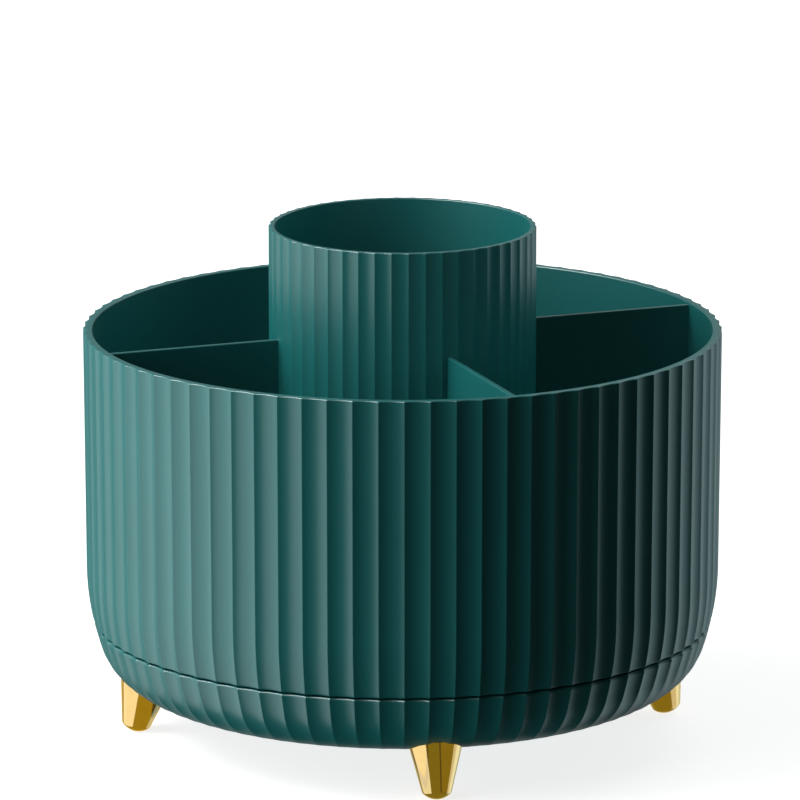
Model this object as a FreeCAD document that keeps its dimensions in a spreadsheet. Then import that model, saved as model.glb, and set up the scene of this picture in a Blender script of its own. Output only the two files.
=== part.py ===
import FreeCAD, Part
import math
import os
import Sketcher

# Rotating makeup organizer, in millimetres.
# A fluted tub with a taller fluted cup in its middle turns on a ring of balls inside a fluted
# bowl, and the bowl stands on four splayed feet. The origin is on the table under the spin axis,
# +Z is up, and one foot points to -Y. Radii of fluted walls are taken over their ridges.

SIZES = [
    # Outline of tub and bowl: a drafted wall, a wide bend and a tight bend down to a flat belly
    ("rim_radius", 110.0),
    ("rim_height", 141.3),
    ("draft_angle", 0.28),
    ("bend_height", 58.3),
    ("upper_bend_radius", 89.4),
    ("lower_bend_radius", 21.0),
    ("belly_height", 15.8),
    ("shell_wall", 3.3),
    # Seam between the bowl and the tub that turns on it
    ("seam_height", 38.6),
    ("seam_gap", 0.6),
    # Flutes: the tub rests turned by a few whole flutes, so ridges line up across the seam.
    # Their depth is that of an upright wall, and they run out where the bowl turns under.
    ("flute_count", 80),
    ("flute_depth", 0.8),
    ("turned_flute_count", 3),
    ("section_count", 6),
    # Tub floor
    ("floor_recess", 1.6),
    ("floor_thickness", 3.0),
    # Centre cup, and the ring on the tub floor that locates it
    ("cup_radius", 46.0),
    ("cup_rim_height", 177.0),
    ("cup_wall", 2.1),
    ("cup_floor_thickness", 2.5),
    ("cup_flute_count", 50),
    ("cup_flute_depth", 0.55),
    ("cup_fit", 0.15),
    ("cup_ring_width", 2.0),
    ("cup_ring_height", 5.0),
    # Dividers, held in slots in the tub's wall and floor and locked in by the cup
    ("divider_thickness", 1.8),
    ("divider_drop", 0.8),
    ("slot_depth", 1.0),
    ("slot_fit", 0.1),
    # Ball ring, set in from the feet so that it clears their screws
    ("ball_count", 24),
    ("ball_radius", 3.0),
    ("ball_circle_inset", 27.0),
    ("ball_fit", 0.1),
    ("race_width", 18.0),
    ("race_thickness", 3.0),
    ("race_gap", 4.0),
    ("cage_width", 9.0),
    ("cage_float", 0.3),
    ("pocket_fit", 0.15),
    # Countersunk screws that hold each race
    ("race_screw_count", 4),
    ("race_screw_radius", 1.5),
    ("race_screw_length", 7.5),
    ("race_head_radius", 2.5),
    ("race_head_height", 1.5),
    # Pivot: a sleeve clamped on the bowl's post, and a flanged bush in the tub's hub
    ("sleeve_radius", 5.0),
    ("pivot_fit", 0.05),
    ("end_play", 0.3),
    ("post_radius", 12.0),
    ("bush_wall", 2.0),
    ("bush_flange_width", 3.0),
    ("bush_flange_thickness", 1.5),
    ("hub_wall", 6.0),
    ("hub_drop", 3.0),
    ("hub_rise", 2.5),
    ("washer_overlap", 4.0),
    ("washer_thickness", 1.5),
    ("pivot_screw_radius", 2.5),
    ("pivot_screw_grip", 12.0),
    ("pivot_head_radius", 5.0),
    ("pivot_head_height", 2.5),
    ("head_room", 2.0),
    # Feet: their axes pass through the centre of the bowl's tight bend
    ("splay_angle", 13.5),
    ("foot_top_radius", 9.4),
    ("foot_tip_radius", 4.95),
    ("foot_dome_height", 2.2),
    ("foot_flat_depth", 0.4),
    ("foot_fit", 0.1),
    ("spigot_radius", 5.0),
    ("spigot_length", 8.0),
    ("boss_wall", 3.0),
    ("boss_ceiling", 2.5),
    ("foot_screw_radius", 1.6),
    ("foot_screw_grip", 9.0),
    ("foot_head_radius", 3.4),
    ("foot_head_height", 2.4),
    # Cross recess of the screws, as shares of the head, and the clearance of a fixed fit
    ("recess_reach_share", 0.6),
    ("recess_width_share", 0.3),
    ("recess_depth_share", 0.6),
    ("seat_fit", 0.05),
    # How far a cutter runs past the face that it cuts
    ("overrun", 1.0),
]

doc = FreeCAD.newDocument("makeup_organizer")
dim = doc.addObject("Spreadsheet::Sheet", "dim")
for row, (alias, size) in enumerate(SIZES, start=1):
    dim.set(f"A{row}", alias)
    dim.set(f"B{row}", str(size))
    dim.setAlias(f"B{row}", alias)
doc.recompute()

# Feet and dividers go round in quarter turns from +X, and the tub rests turned by whole flutes
SIDES = ("right", "back", "left", "front")
FULL_TURN = 360
QUARTER_TURN = FULL_TURN / len(SIDES)
foot_count = str(len(SIDES))
rest_turn = f"({FULL_TURN} * dim.turned_flute_count / dim.flute_count)"

# Levels above the table
base_floor = "(dim.belly_height + dim.shell_wall)"
base_top = "(dim.seam_height - dim.seam_gap / 2)"
tub_bottom = "(dim.seam_height + dim.seam_gap / 2)"
tub_underside = f"({tub_bottom} + dim.floor_recess)"
tub_floor = f"({tub_underside} + dim.floor_thickness)"
ball_level = f"(({base_floor} + {tub_underside}) / 2)"
lower_face = f"({ball_level} - dim.race_gap / 2)"
lower_seat = f"({lower_face} - dim.race_thickness)"
upper_face = f"({ball_level} + dim.race_gap / 2)"
upper_seat = f"({upper_face} + dim.race_thickness)"
hub_bottom = f"({tub_underside} - dim.hub_drop)"
hub_top = f"({tub_floor} + dim.hub_rise)"
flange_bottom = f"({hub_bottom} - dim.bush_flange_thickness)"
post_top = f"({flange_bottom} - dim.end_play)"
sleeve_top = f"({hub_top} + dim.end_play)"
washer_top = f"({sleeve_top} + dim.washer_thickness)"
pivot_head_top = f"({washer_top} + dim.pivot_head_height)"
pivot_screw_end = f"({post_top} - dim.pivot_screw_grip)"
pivot_hole_end = f"({pivot_screw_end} - dim.seat_fit)"
cup_floor_underside = f"({pivot_head_top} + dim.head_room)"
cup_floor = f"({cup_floor_underside} + dim.cup_floor_thickness)"
cup_ring_top = f"({tub_floor} + dim.cup_ring_height)"
divider_bottom = f"({tub_floor} - dim.slot_depth)"
divider_top = "(dim.rim_height - dim.divider_drop)"

# Centres of the outline's two bends, across from the spin axis and up from the table
draft = "(dim.draft_angle * 1 deg)"
bend_across = (
    f"(dim.rim_radius - (dim.rim_height - dim.bend_height) * tan({draft})"
    f" - dim.upper_bend_radius * cos({draft}))"
)
bend_up = f"(dim.bend_height + dim.upper_bend_radius * sin({draft}))"
bends_apart = "(dim.upper_bend_radius - dim.lower_bend_radius)"
turn_up = "(dim.belly_height + dim.lower_bend_radius)"
turn_across = f"({bend_across} + sqrt({bends_apart} ^ 2 - ({bend_up} - {turn_up}) ^ 2))"

# Radii about the spin axis
ball_circle = f"({turn_across} - dim.ball_circle_inset)"
race_inner = f"({ball_circle} - dim.race_width / 2)"
race_outer = f"({ball_circle} + dim.race_width / 2)"
race_screw_circle = f"({ball_circle} + (dim.ball_radius + dim.race_width / 2) / 2)"
cage_inner = f"({ball_circle} - dim.cage_width / 2)"
cage_outer = f"({ball_circle} + dim.cage_width / 2)"
screw_bore = "(dim.pivot_screw_radius + dim.seat_fit)"
bush_bore = "(dim.sleeve_radius + dim.pivot_fit)"
bush_outer = f"({bush_bore} + dim.bush_wall)"
flange_radius = f"({bush_outer} + dim.bush_flange_width)"
hub_bore = f"({bush_outer} + dim.seat_fit)"
hub_radius = f"({hub_bore} + dim.hub_wall)"
washer_radius = f"({hub_bore} + dim.washer_overlap)"
cup_inner = "(dim.cup_radius - dim.cup_wall)"
cup_ring_outer = f"({cup_inner} - dim.cup_fit)"
cup_ring_inner = f"({cup_ring_outer} - dim.cup_ring_width)"
divider_start = "(dim.cup_radius + dim.cup_fit)"

# A foot's own axis: nought at the centre of the tight bend, and negative down to the table,
# which takes a small flat off the lowest part of the foot's dome
dome_radius = "((dim.foot_tip_radius ^ 2 + dim.foot_dome_height ^ 2) / (2 * dim.foot_dome_height))"
dome_centre = f"(({dome_radius} - dim.foot_flat_depth - {turn_up}) / cos(dim.splay_angle * 1 deg))"
foot_end = f"({dome_centre} - {dome_radius})"
foot_shoulder = f"({foot_end} + dim.foot_dome_height)"
foot_skin = "(-dim.lower_bend_radius)"
foot_root = f"({foot_skin} + dim.shell_wall)"
spigot_top = f"({foot_skin} + dim.spigot_length)"
boss_top = f"({spigot_top} + dim.boss_ceiling)"
foot_head_top = f"({boss_top} + dim.foot_head_height)"
foot_screw_end = f"({spigot_top} - dim.foot_screw_grip)"
foot_hole_end = f"({foot_screw_end} - dim.overrun)"
foot_hole = "(dim.foot_screw_radius + dim.seat_fit)"
socket_radius = "(dim.spigot_radius + dim.foot_fit)"
boss_radius = f"({socket_radius} + dim.boss_wall)"

# Axes that stand away from the spin axis
FOOT_AXIS = {"Base.x": turn_across, "Base.y": turn_up, "Rotation.Angle": "dim.splay_angle"}
BALL_AXIS = {"Base.x": ball_circle}
RACE_SCREW_AXIS = {"Base.x": race_screw_circle}

# How a sketch numbers its own axes, and the points of an edge
ACROSS_AXIS, UP_AXIS = -1, -2
START, END, CENTRE = 1, 2, 3


def number(expression):
    """The present value of a sum of sheet sizes."""
    return float(dim.evalExpression(expression))


def named(kind, name):
    """A new document object whose label is its name."""
    thing = doc.addObject(kind, name)
    thing.Label = name
    return thing


def bind(thing, sizes, group=""):
    """Ties an object's properties to sums of sheet sizes."""
    for path, expression in sizes.items():
        thing.setExpression(group + path, expression)
    return thing


def swing(thing, angle):
    """Turns a finished piece about the spin axis."""
    thing.setExpression("Placement.Rotation.Angle", angle)
    return thing


def datum(body, role):
    """One of a body's own origin planes or axes."""
    return next(feature for feature in body.Origin.OriginFeatures if feature.Role == role)


def blank_sketch(body, name, offsets=None):
    """An empty sketch in a body's XZ plane, shifted and tilted by the offsets."""
    sketch = body.newObject("Sketcher::SketchObject", name)
    sketch.AttachmentSupport = [(datum(body, "XZ_Plane"), "")]
    sketch.MapMode = "FlatFace"
    return bind(sketch, offsets or {}, "AttachmentOffset.")


def edge(start, end, radius):
    """A straight edge of an outline, or an arc that bulges to the right of the way it is drawn."""
    if radius is None:
        return Part.LineSegment(start, end)
    half = (end - start) / 2
    left = FreeCAD.Vector(-half.y, half.x, 0).normalize()
    centre = start + half + left * math.sqrt(radius ** 2 - half.Length ** 2)
    circle = Part.Circle(centre, FreeCAD.Vector(0, 0, 1), radius)
    return Part.ArcOfCircle(circle, circle.parameter(start), circle.parameter(end))


def fix(sketch, kind, *places, size):
    """Adds a size to a sketch and ties it to the sheet."""
    index = sketch.addConstraint(Sketcher.Constraint(kind, *places, number(size)))
    sketch.setExpression(f"Constraints[{index}]", size)


def pin(sketch, curve, point, across, up):
    """Fixes a point of a sketch across and up from the sketch's origin."""
    for kind, axis, size in (("DistanceX", UP_AXIS, across), ("DistanceY", ACROSS_AXIS, up)):
        if size == "0":
            sketch.addConstraint(Sketcher.Constraint("PointOnObject", curve, point, axis))
        else:
            fix(sketch, kind, ACROSS_AXIS, START, curve, point, size=size)


def draw(body, corners, offsets=None):
    """Sketches a closed outline from its corners across and up.

    A corner may give a third value, the radius of the edge that leaves it.
    """
    sketch = blank_sketch(body, "outline", offsets)
    count = len(corners)
    places = [FreeCAD.Vector(number(corner[0]), number(corner[1]), 0) for corner in corners]
    radii = [corner[2] if len(corner) > 2 else None for corner in corners]
    for k, radius in enumerate(radii):
        sketch.addGeometry(edge(places[k], places[(k + 1) % count], radius and number(radius)))
    for k, radius in enumerate(radii):
        sketch.addConstraint(Sketcher.Constraint("Coincident", k, END, (k + 1) % count, START))
        pin(sketch, k, START, corners[k][0], corners[k][1])
        if radius:
            fix(sketch, "Radius", k, size=radius)
    return sketch


def feature(body, kind, sketch):
    """Adds a sketched feature to a body."""
    made = body.newObject("PartDesign::" + kind, kind.lower())
    made.Profile = sketch
    body.Tip = made
    return made


def revolve(body, sketch, kind="Revolution"):
    """Turns a sketch once round its own upright axis."""
    made = feature(body, kind, sketch)
    made.ReferenceAxis = (sketch, ["V_Axis"])
    made.Angle = FULL_TURN
    return made


def ring_of(body, features, count):
    """Repeats features of a body in a ring about the spin axis."""
    pattern = body.newObject("PartDesign::PolarPattern", "ring")
    pattern.Originals = features
    pattern.Axis = (datum(body, "Z_Axis"), [""])
    pattern.Angle = FULL_TURN
    pattern.setExpression("Occurrences", count)
    body.Tip = pattern


def turned(name, corners, axis=None, count=None):
    """A body turned from one outline, or a ring of such bodies."""
    body = named("PartDesign::Body", name)
    made = revolve(body, draw(body, corners, axis))
    if count:
        ring_of(body, [made], count)
    return body


def tube(inner, outer, low, high):
    """Outline of a plain ring."""
    return [(inner, low), (outer, low), (outer, high), (inner, high)]


def rod(radius, low, high):
    """Outline of a plain rod."""
    return [("0", low), (radius, low), (radius, high), ("0", high)]


def cross_recess(body, axis, head_radius, head_height, top, way):
    """Cuts the two arms of a cross into a screw head, from its top the way the shank points."""
    reach = f"({head_radius} * dim.recess_reach_share)"
    half_width = f"({reach} * dim.recess_width_share)"
    bottom = f"({top} {way} {head_height} * dim.recess_depth_share)"
    arms = []
    for across, through in ((reach, half_width), (half_width, reach)):
        corners = [(f"(-{across})", top), (across, top), (across, bottom), (f"(-{across})", bottom)]
        arm = feature(body, "Pocket", draw(body, corners, axis))
        arm.SideType = "Symmetric"
        arm.setExpression("Length", f"2 * {through}")
        arms.append(arm)
    return arms


def pan_screw(name, shank, head, end, seat, top, axis=None, count=None):
    """A pan head screw, or a ring of them."""
    body = named("PartDesign::Body", name)
    corners = [("0", end), (shank, end), (shank, seat), (head, seat), (head, top), ("0", top)]
    made = [revolve(body, draw(body, corners, axis))]
    made += cross_recess(body, axis, head, f"({top} - {seat})", top, "-")
    if count:
        ring_of(body, made, count)
    return body


def combine(kind, name, first, second):
    """A cut, or the common part, of two objects."""
    made = named("Part::" + kind, name)
    made.Base = first
    made.Tool = second
    return made


def gather(kind, name, things):
    """A fusion or a loose group of objects."""
    made = named("Part::" + kind, name)
    setattr(made, "Links" if kind == "Compound" else "Shapes", things)
    return made


def cylinder(name, radius, low, high):
    """An upright cylinder on the spin axis."""
    sizes = {"Radius": radius, "Height": f"{high} - {low}", "Placement.Base.z": low}
    return bind(named("Part::Cylinder", name), sizes)


def hollow(name, inset):
    """The smooth space inside the whole outline, set in from the ridges."""
    wide, tight = f"(dim.upper_bend_radius - {inset})", f"(dim.lower_bend_radius - {inset})"
    belly = f"({turn_up} - {tight})"
    joint_across = f"({bend_across} + {wide} * ({turn_across} - {bend_across}) / {bends_apart})"
    joint_up = f"({bend_up} - {wide} * ({bend_up} - {turn_up}) / {bends_apart})"
    wall_across = f"({bend_across} + {wide} * cos({draft}))"
    wall_up = f"({bend_up} - {wide} * sin({draft}))"
    top = "(dim.rim_height + dim.overrun)"
    top_across = f"({wall_across} + ({top} - {wall_up}) * tan({draft}))"
    return turned(name, [
        ("0", belly), (turn_across, belly, tight), (joint_across, joint_up, wide),
        (wall_across, wall_up), (top_across, top), ("0", top),
    ])


def wall_at(level):
    """The outline's radius at a level, and how far it leans from upright there."""
    if level >= dim.bend_height:
        lean = math.radians(dim.draft_angle)
        return dim.rim_radius - (dim.rim_height - level) * math.tan(lean), lean
    joint = math.asin((number(bend_up) - number(turn_up)) / number(bends_apart))
    lean = math.asin(min(1, (number(bend_up) - level) / dim.upper_bend_radius))
    if lean <= joint:
        return number(bend_across) + dim.upper_bend_radius * math.cos(lean), lean
    lean = math.asin(min(1, (number(turn_up) - level) / dim.lower_bend_radius))
    return number(turn_across) + dim.lower_bend_radius * math.cos(lean), lean


def scalloped_ring(radius, level, depth, count):
    """A closed wire of hollow curves between ridges, with the middle of one hollow on +X."""
    def at(distance, step):
        angle = 2 * math.pi * step / count
        return FreeCAD.Vector(distance * math.cos(angle), distance * math.sin(angle), level)

    half = 1 / 2
    hollows = []
    for k in range(count):
        ridge, valley, next_ridge = at(radius, k - half), at(radius - depth, k), at(radius, k + half)
        curve = Part.BezierCurve()
        curve.setPoles([ridge, valley * 2 - (ridge + next_ridge) * half, next_ridge])
        hollows.append(curve.toShape())
    return Part.Wire(hollows)


def fluted(name, rings, count):
    """A solid lofted through scalloped rings, each a radius, a level and a flute depth."""
    wires = [scalloped_ring(radius, level, depth, count) for radius, level, depth in rings]
    made = named("Part::Feature", name)
    made.Shape = Part.makeLoft(wires, True)
    return made


def fluted_outline(name, levels, gap=0):
    """The outside of tub or bowl between its levels, grown by a gap along its own normal."""
    rings = []
    for level in levels:
        across, lean = wall_at(level)
        depth = dim.flute_depth * math.cos(lean)
        rings.append((across + gap * math.cos(lean), level - gap * math.sin(lean), depth))
    return fluted(name, rings, int(dim.flute_count))


# Outsides of the shells, with rings at even steps along tub and bowl, and the space inside both
steps = [k / dim.section_count for k in range(int(dim.section_count) + 1)]
tub_rise = dim.rim_height - number(tub_bottom)
bowl_rise = number(base_top) - dim.belly_height
tub_levels = [number(tub_bottom) + tub_rise * step for step in steps]
bowl_levels = [dim.belly_height + bowl_rise * (1 - math.cos(math.pi / 2 * step)) for step in steps]
tub_outside = fluted_outline("tub_outside", tub_levels)
bowl_outside = fluted_outline("bowl_outside", bowl_levels)
bowl_clearance = fluted_outline("bowl_clearance", bowl_levels, dim.foot_fit)
shell_inside = hollow("shell_inside", "dim.shell_wall")


def race_screw_hole(face, way):
    """Outline of a countersunk hole from a race's face to past the end of its screw."""
    opposite = {"-": "+", "+": "-"}[way]
    head, shank = "(dim.race_head_radius + dim.seat_fit)", "(dim.race_screw_radius + dim.seat_fit)"
    mouth = f"({face} {opposite} dim.overrun)"
    neck = f"({face} {way} dim.race_head_height)"
    end = f"({face} {way} dim.race_screw_length {way} dim.seat_fit)"
    return [("0", mouth), (head, mouth), (head, face), (shank, neck), (shank, end), ("0", end)]


def race_screw_holes(name, face, way):
    """The ring of holes that one race's screws need."""
    return turned(name, race_screw_hole(face, way), RACE_SCREW_AXIS, "dim.race_screw_count")


# Bowl: shell, race rib, pivot post and foot bosses, then the sockets and screw holes
post_and_rib = turned("post_and_rib", [
    ("0", "dim.belly_height"), (race_outer, "dim.belly_height"), (race_outer, lower_seat),
    (race_inner, lower_seat), (race_inner, base_floor), ("dim.post_radius", base_floor),
    ("dim.post_radius", post_top), (screw_bore, post_top), (screw_bore, pivot_hole_end),
    ("0", pivot_hole_end),
])
foot_bosses = turned("foot_bosses", rod(boss_radius, foot_skin, boss_top), FOOT_AXIS, foot_count)
bowl_fittings = gather("MultiFuse", "bowl_fittings", [post_and_rib, foot_bosses])
bowl_inside = combine("Cut", "bowl_inside", shell_inside, bowl_fittings)
bowl_shell = combine("Cut", "bowl_shell", bowl_outside, bowl_inside)
screw_way_out = f"({boss_top} + dim.overrun)"
foot_sockets = turned("foot_sockets", [
    ("0", foot_shoulder), (socket_radius, foot_shoulder), (socket_radius, spigot_top),
    (foot_hole, spigot_top), (foot_hole, screw_way_out), ("0", screw_way_out),
], FOOT_AXIS, foot_count)
rib_holes = race_screw_holes("rib_holes", lower_face, "-")
bowl_holes = gather("Compound", "bowl_holes", [foot_sockets, rib_holes])
base = combine("Cut", "base", bowl_shell, bowl_holes)

# Feet: plated cones with a domed tip, trimmed to the bowl and levelled on the table
spigots = turned("spigots", rod("dim.spigot_radius", foot_end, spigot_top), FOOT_AXIS, foot_count)
bowl_trim = combine("Cut", "bowl_trim", bowl_clearance, spigots)
table = cylinder("table", "dim.rim_radius", "(-dim.rim_height)", "0")
foot_trim = gather("Compound", "foot_trim", [bowl_trim, table])
feet = []
for quarter, side in enumerate(SIDES):
    blank = turned(f"foot_blank_{side}", [
        ("0", foot_end, dome_radius), ("dim.foot_tip_radius", foot_shoulder),
        ("dim.foot_top_radius", foot_root), ("dim.spigot_radius", foot_root),
        ("dim.spigot_radius", spigot_top), (foot_hole, spigot_top),
        (foot_hole, foot_hole_end), ("0", foot_hole_end),
    ], FOOT_AXIS)
    swing(blank, str(quarter * QUARTER_TURN))
    feet.append(combine("Cut", f"foot_{side}", blank, foot_trim))
foot_screws = pan_screw(
    "foot_screws", "dim.foot_screw_radius", "dim.foot_head_radius",
    foot_screw_end, boss_top, foot_head_top, FOOT_AXIS, foot_count,
)


def race(name, face, seat, way):
    """A flat ring with a ball track and countersunk holes in the face towards the balls."""
    body = turned(name, tube(race_inner, race_outer, face, seat))
    track = blank_sketch(body, "track")
    radius = "(dim.ball_radius + dim.ball_fit)"
    centre = FreeCAD.Vector(number(ball_circle), number(ball_level), 0)
    track.addGeometry(Part.Circle(centre, FreeCAD.Vector(0, 0, 1), number(radius)))
    fix(track, "Radius", 0, size=radius)
    pin(track, 0, CENTRE, ball_circle, ball_level)
    revolve(body, track, "Groove")
    hole = revolve(body, draw(body, race_screw_hole(face, way), RACE_SCREW_AXIS), "Groove")
    ring_of(body, [hole], "dim.race_screw_count")
    return body


def race_screws(name, face, way):
    """The ring of countersunk screws that holds one race, flush with its face."""
    body = named("PartDesign::Body", name)
    head, head_height, shank = "dim.race_head_radius", "dim.race_head_height", "dim.race_screw_radius"
    neck = f"({face} {way} {head_height})"
    end = f"({face} {way} dim.race_screw_length)"
    corners = [("0", face), (head, face), (shank, neck), (shank, end), ("0", end)]
    made = [revolve(body, draw(body, corners, RACE_SCREW_AXIS))]
    made += cross_recess(body, RACE_SCREW_AXIS, head, head_height, face, way)
    ring_of(body, made, "dim.race_screw_count")
    return body


# Ball ring: two races, their screws, the balls and the cage that spaces them
race_lower = race("race_lower", lower_face, lower_seat, "-")
race_upper = swing(race("race_upper", upper_face, upper_seat, "+"), rest_turn)
race_lower_screws = race_screws("race_lower_screws", lower_face, "-")
race_upper_screws = swing(race_screws("race_upper_screws", upper_face, "+"), rest_turn)
bearing_balls = named("PartDesign::Body", "bearing_balls")
ball = bearing_balls.newObject("PartDesign::AdditiveSphere", "ball")
ball.AttachmentSupport = [(datum(bearing_balls, "XY_Plane"), "")]
ball.MapMode = "FlatFace"
bind(ball, {"Base.x": ball_circle, "Base.z": ball_level}, "AttachmentOffset.")
ball.setExpression("Radius", "dim.ball_radius")
ring_of(bearing_balls, [ball], "dim.ball_count")
cage_bottom, cage_top = f"({lower_face} + dim.cage_float)", f"({upper_face} - dim.cage_float)"
ball_cage = turned("ball_cage", tube(cage_inner, cage_outer, cage_bottom, cage_top))
pocket_shape = rod("(dim.ball_radius + dim.pocket_fit)", lower_face, upper_face)
pocket = revolve(ball_cage, draw(ball_cage, pocket_shape, BALL_AXIS), "Groove")
ring_of(ball_cage, [pocket], "dim.ball_count")

# Pivot, from the bowl's post up: sleeve, bush round it, washer and screw
pivot_sleeve = turned("pivot_sleeve", tube(screw_bore, "dim.sleeve_radius", post_top, sleeve_top))
pivot_bush = turned("pivot_bush", [
    (bush_bore, flange_bottom), (flange_radius, flange_bottom), (flange_radius, hub_bottom),
    (bush_outer, hub_bottom), (bush_outer, hub_top), (bush_bore, hub_top),
])
pivot_washer = turned("pivot_washer", tube(screw_bore, washer_radius, sleeve_top, washer_top))
pivot_screw = pan_screw(
    "pivot_screw", "dim.pivot_screw_radius", "dim.pivot_head_radius",
    pivot_screw_end, washer_top, pivot_head_top,
)


def plate(name, envelope, gap):
    """A plate along +X from the cup to the envelope, as a divider or, with a gap, as its slot."""
    blank = bind(named("Part::Box", f"{name}_blank"), {
        "Length": f"dim.rim_radius - {divider_start}",
        "Width": f"dim.divider_thickness + 2 * {gap}",
        "Height": f"{divider_top} - {divider_bottom} + {gap}",
        "Placement.Base.x": f"{divider_start} - {gap}",
        "Placement.Base.y": f"-dim.divider_thickness / 2 - {gap}",
        "Placement.Base.z": divider_bottom,
    })
    return combine("Common", name, blank, envelope)


# Tub: shell with a floor, then the hub, race rib and cup ring, then slots, bore and screw holes
room = cylinder("room", "dim.rim_radius", tub_floor, "(dim.rim_height + 2 * dim.overrun)")
recess = cylinder("recess", "dim.rim_radius", base_floor, tub_underside)
tub_spaces = gather("Compound", "tub_spaces", [room, recess])
tub_inside = combine("Common", "tub_inside", shell_inside, tub_spaces)
tub_shell = combine("Cut", "tub_shell", tub_outside, tub_inside)
hub_and_rib = turned("hub_and_rib", [
    (hub_bore, hub_bottom), (hub_radius, hub_bottom), (hub_radius, tub_underside),
    (race_inner, tub_underside), (race_inner, upper_seat), (race_outer, upper_seat),
    (race_outer, tub_floor), (cup_ring_outer, tub_floor), (cup_ring_outer, cup_ring_top),
    (cup_ring_inner, cup_ring_top), (cup_ring_inner, tub_floor), (hub_radius, tub_floor),
    (hub_radius, hub_top), (hub_bore, hub_top),
])
tub_blank = gather("MultiFuse", "tub_blank", [tub_shell, hub_and_rib])
slot_reach = hollow("slot_reach", "(dim.shell_wall - dim.slot_depth)")
slots = []
for quarter, side in enumerate(SIDES):
    slot = plate(f"slot_{side}", slot_reach, "dim.slot_fit")
    slots.append(swing(slot, str(quarter * QUARTER_TURN)))
bore = cylinder("bore", hub_bore, hub_bottom, hub_top)
floor_holes = race_screw_holes("floor_holes", upper_face, "+")
tub_cutters = gather("Compound", "tub_cutters", slots + [bore, floor_holes])
drum = swing(combine("Cut", "drum", tub_blank, tub_cutters), rest_turn)

# Dividers
divider_reach = hollow("divider_reach", "(dim.shell_wall - dim.slot_depth + dim.slot_fit)")
dividers = []
for quarter, side in enumerate(SIDES):
    divider = plate(f"divider_{side}", divider_reach, "0")
    dividers.append(swing(divider, f"{rest_turn} + {quarter * QUARTER_TURN}"))

# Centre cup: a fluted tube whose floor clears the pivot screw, with a ridge towards the right divider
cup_turn = f"({rest_turn} + {FULL_TURN} / dim.cup_flute_count / 2)"
cup_rings = [
    (dim.cup_radius, level, dim.cup_flute_depth) for level in (number(tub_floor), dim.cup_rim_height)
]
cup_outside = fluted("cup_outside", cup_rings, int(dim.cup_flute_count))
cup_room = cylinder("cup_room", cup_inner, cup_floor, "(dim.cup_rim_height + dim.overrun)")
cup_skirt = cylinder("cup_skirt", cup_inner, divider_bottom, cup_floor_underside)
cup_spaces = gather("Compound", "cup_spaces", [cup_room, cup_skirt])
centre_cup = swing(combine("Cut", "centre_cup", cup_outside, cup_spaces), cup_turn)

NODES = [base, *feet, foot_screws, race_lower, race_lower_screws, ball_cage, bearing_balls]
NODES += [race_upper, race_upper_screws, pivot_sleeve, pivot_bush, pivot_washer, pivot_screw]
NODES += [drum, centre_cup, *dividers]

doc.recompute()
failed = [thing.Label for thing in doc.Objects if {"Invalid", "Error"} & set(thing.State)]
failed += [node.Label for node in NODES if node.Shape.isNull() or not node.Shape.isValid()]
if failed:
    raise RuntimeError("not built: " + ", ".join(failed))
os.makedirs("parts", exist_ok=True)
for node in NODES:
    node.Shape.exportStep(f"parts/{node.Label}.step")
    print(node.Label, len(node.Shape.Solids), "solids", round(node.Shape.Volume), "cubic millimetres")
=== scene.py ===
# %% [markdown]
# A rotating makeup organizer
#
# Four green mouldings show: a fluted tub, a taller fluted cup in its middle, thin plates that part
# the tub, and a fluted bowl that the tub turns on. The bowl stands on four plated feet, and a ring
# of balls and a pivot are hidden inside it. The CAD frame already holds every piece at its true
# size and place, so it is loaded first and everything below is dressed around it.

# %% Load the frame
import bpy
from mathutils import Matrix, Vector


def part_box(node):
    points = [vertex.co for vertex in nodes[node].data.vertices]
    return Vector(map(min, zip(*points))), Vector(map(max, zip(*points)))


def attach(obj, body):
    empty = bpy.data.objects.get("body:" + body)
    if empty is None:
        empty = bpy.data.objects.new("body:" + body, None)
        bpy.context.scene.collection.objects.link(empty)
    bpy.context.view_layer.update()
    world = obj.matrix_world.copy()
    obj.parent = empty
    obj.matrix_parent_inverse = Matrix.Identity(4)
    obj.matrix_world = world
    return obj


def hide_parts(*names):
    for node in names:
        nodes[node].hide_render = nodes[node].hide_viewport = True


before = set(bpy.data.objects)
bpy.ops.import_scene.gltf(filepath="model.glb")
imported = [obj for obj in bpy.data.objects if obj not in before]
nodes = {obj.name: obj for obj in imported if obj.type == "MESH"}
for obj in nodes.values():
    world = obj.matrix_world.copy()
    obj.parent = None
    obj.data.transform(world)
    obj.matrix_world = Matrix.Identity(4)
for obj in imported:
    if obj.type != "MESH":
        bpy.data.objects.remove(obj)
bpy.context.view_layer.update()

# %% Tools for the rest of the lesson
import math

import bmesh
import bpy
from mathutils import Matrix, Vector

MM = 0.001
FULL_TURN = 2 * math.pi
QUARTER_TURN = FULL_TURN / 4
SIDES = ("right", "back", "left", "front")
scene = bpy.context.scene

# %% [markdown]
# The wall that tub and bowl share
#
# Seen from the side, tub and bowl are one outline: a wall with a little draft, a wide bend and a
# tight bend down to a flat belly, parted by a thin seam. A bezier could be traced over it, but
# three named radii describe it exactly, and the same description moved inwards gives the inside
# of the moulding. The frame's box of the tub touches its outermost ridge, which lies half a flute
# from the X axis.

# %% Outline of tub and bowl
SHELL_WALL = 3.3 * MM
SEAM_HEIGHT = 38.6 * MM
SEAM_GAP = 0.6 * MM
BEND_HEIGHT = 58.3 * MM
WIDE_BEND = 89.4 * MM
TIGHT_BEND = 21.0 * MM
DRAFT = math.radians(0.28)
FLUTE_COUNT = 80

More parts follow.
